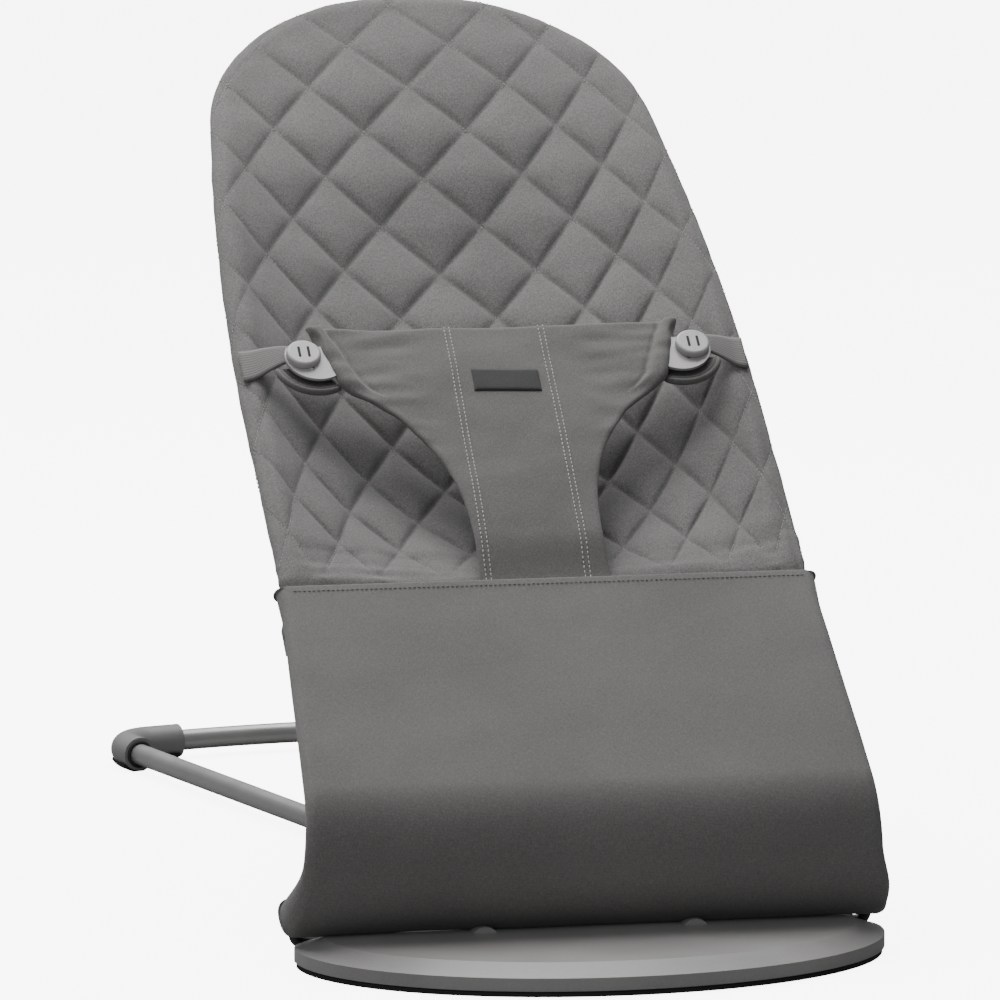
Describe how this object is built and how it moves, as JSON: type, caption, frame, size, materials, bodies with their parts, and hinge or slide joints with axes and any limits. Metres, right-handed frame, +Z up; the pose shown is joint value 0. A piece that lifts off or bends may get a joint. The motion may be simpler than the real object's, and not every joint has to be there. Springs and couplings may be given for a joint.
{
  "type": "bouncer seat",
  "caption": "Folding baby bouncer: quilted fabric seat on a sprung wire loop, three-way restraint, rounded floor plate and tube base, support bow behind.",
  "frame": {"origin": "floor level under the middle of the bounding box", "axes": "+Z up, -Y towards the front of the seat (the baby's feet), +X to the right when looking along +Y"},
  "size_m": [0.3912, 0.9224, 0.5679],
  "materials": {
    "plate_plastic": "fine satin texture",
    "dark_plastic": "matte moulded",
    "light_plastic": "satin moulded",
    "grip_rubber": "matte",
    "tube_metal": "satin powder coat",
    "black_wire": "satin powder coat",
    "screw_steel": "bright zinc",
    "quilted_fabric": "quilted cotton weave",
    "panel_fabric": "plain cotton weave",
    "webbing": "ribbed webbing",
    "label_fabric": "woven satin, blank"
  },
  "bodies": {
    "base": {"base_plate_cover": "plate_plastic", "base_plate_tray": "dark_plastic", "base_plate_screws": "screw_steel", "base_grip_ring": "grip_rubber", "rear_tube": "tube_metal", "elbow_rivets": "screw_steel", "rack_screws": "screw_steel", "hinge_bush_left": "dark_plastic", "hinge_bush_right": "dark_plastic", "side_tube_left": "tube_metal", "side_tube_right": "tube_metal", "elbow_left": "dark_plastic", "elbow_right": "dark_plastic", "elbow_foot_left": "grip_rubber", "elbow_foot_right": "grip_rubber", "bow_rack_left": "dark_plastic", "bow_rack_right": "dark_plastic"},
    "seat_lower": {"hem_rod": "black_wire", "front_panel": "panel_fabric", "lower_wire_left": "black_wire", "lower_wire_right": "black_wire", "bow_bracket_left": "dark_plastic", "bow_bracket_right": "dark_plastic"},
    "support_bow": {"support_bow": "black_wire"},
    "backrest": {"backrest_wire": "black_wire", "seat_cover": "quilted_fabric", "restraint_flap": "panel_fabric", "label_patch": "label_fabric", "keyhole_plate_left": "light_plastic", "keyhole_plate_right": "light_plastic", "wing_rim_left": "panel_fabric", "wing_rim_right": "panel_fabric"},
    "button_left": {"button_head_left": "light_plastic", "button_washer_left": "light_plastic", "side_strap_left": "webbing"},
    "button_right": {"button_head_right": "light_plastic", "button_washer_right": "light_plastic", "side_strap_right": "webbing"}
  },
  "joints": [
    {"name": "seat_fold", "type": "hinge", "parent": "base", "child": "seat_lower", "pos_m": [0, -0.30575, 0.0115], "axis": [-1, 0, 0], "range_deg": [0, 38]},
    {"name": "bow_fold", "type": "hinge", "parent": "seat_lower", "child": "support_bow", "pos_m": [0, -0.20111, 0.19522], "axis": [1, 0, 0], "range_deg": [0, 76]},
    {"name": "backrest_bounce", "type": "hinge", "parent": "seat_lower", "child": "backrest", "pos_m": [0, -0.19305, 0.2206], "axis": [-1, 0, 0], "range_deg": [-2, 4], "stiffness_Nm_per_rad": 85, "springref_deg": -1.66},
    {"name": "button_slide_left", "type": "slide", "parent": "backrest", "child": "button_left", "axis": [0, 0.7986, 0.6018], "range_m": [0, 0.011]},
    {"name": "button_slide_right", "type": "slide", "parent": "backrest", "child": "button_right", "axis": [0, 0.7986, 0.6018], "range_m": [0, 0.011]}
  ],
  "couplings": [
    {"joint": "bow_fold", "follows": "seat_fold", "ratio": 2}
  ]
}
